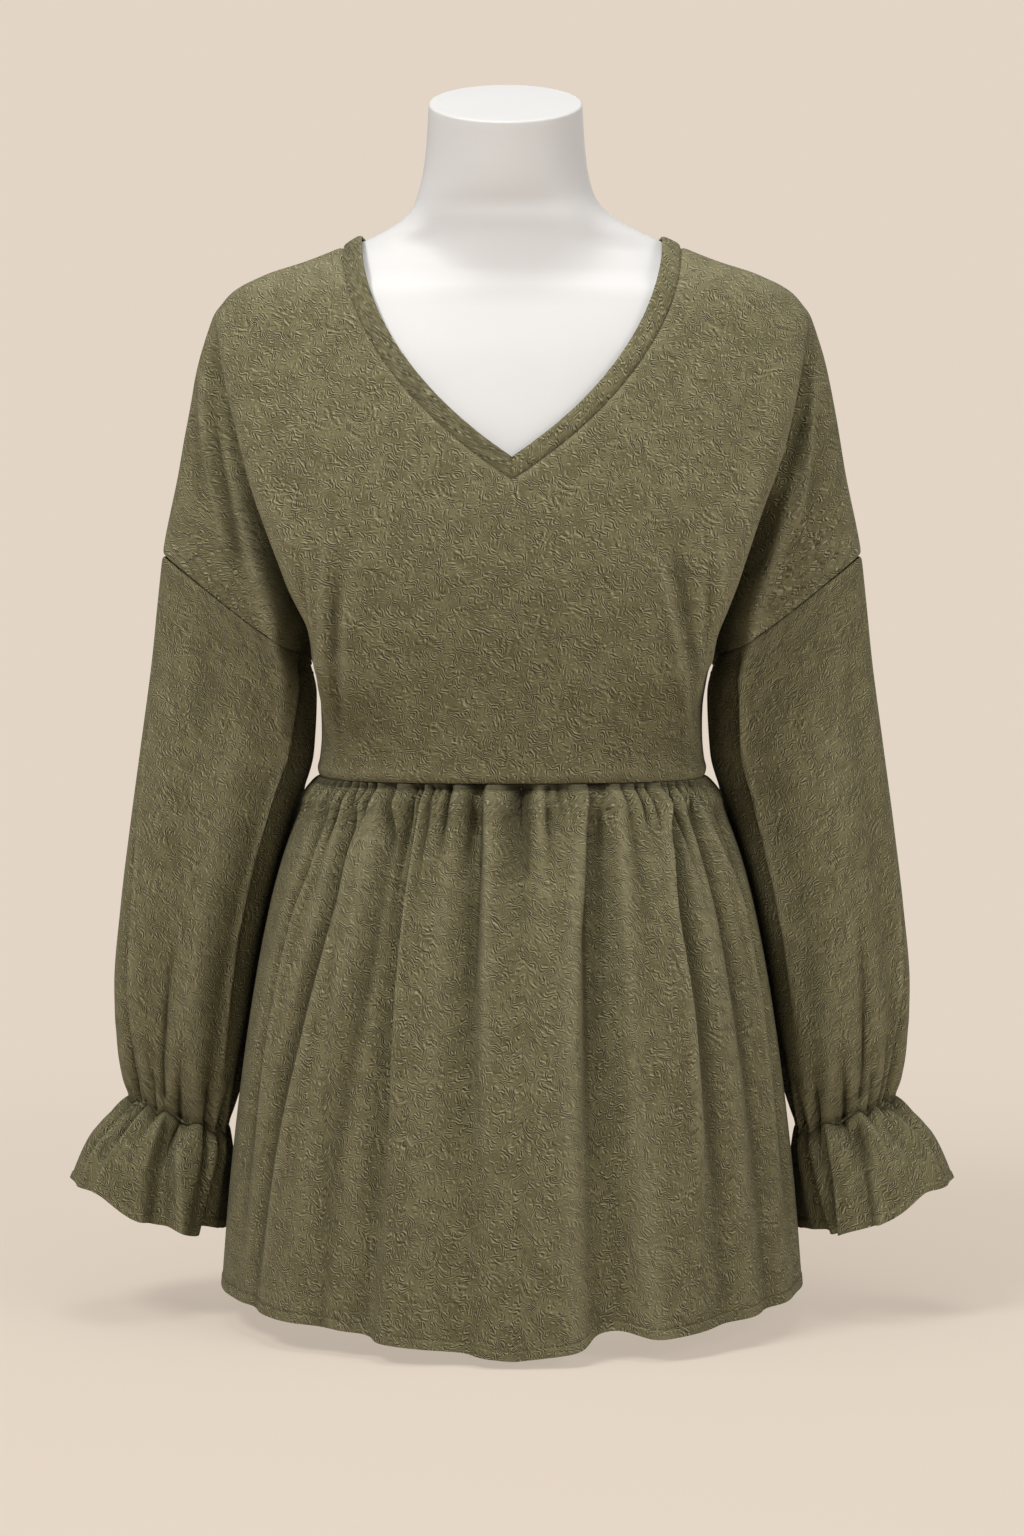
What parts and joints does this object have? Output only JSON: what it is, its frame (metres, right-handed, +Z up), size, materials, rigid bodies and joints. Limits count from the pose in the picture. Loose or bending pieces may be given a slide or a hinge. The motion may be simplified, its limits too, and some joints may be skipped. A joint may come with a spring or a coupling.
{
  "type": "babydoll top on a dress form",
  "caption": "Long-sleeved V-neck babydoll top with dropped shoulders, a gathered skirt and ruffled cuffs, on a limbless dress form.",
  "frame": {"origin": "on the surface that the dress form stands on, under the middle of the shoulders", "axes": "+Z up, -Y the way the wearer faces, +X the wearer's left"},
  "size_m": [0.6018, 0.3212, 0.8416],
  "materials": {
    "cloth": "matte olive crinkled cotton",
    "form": "smooth satin white"
  },
  "bodies": {
    "root": {"dress_form": "form", "bodice_front": "cloth", "bodice_back": "cloth", "neck_band": "cloth", "sleeve_left": "cloth", "sleeve_right": "cloth", "ruffle_left": "cloth", "ruffle_right": "cloth", "skirt_front": "cloth", "skirt_back": "cloth"}
  },
  "joints": []
}
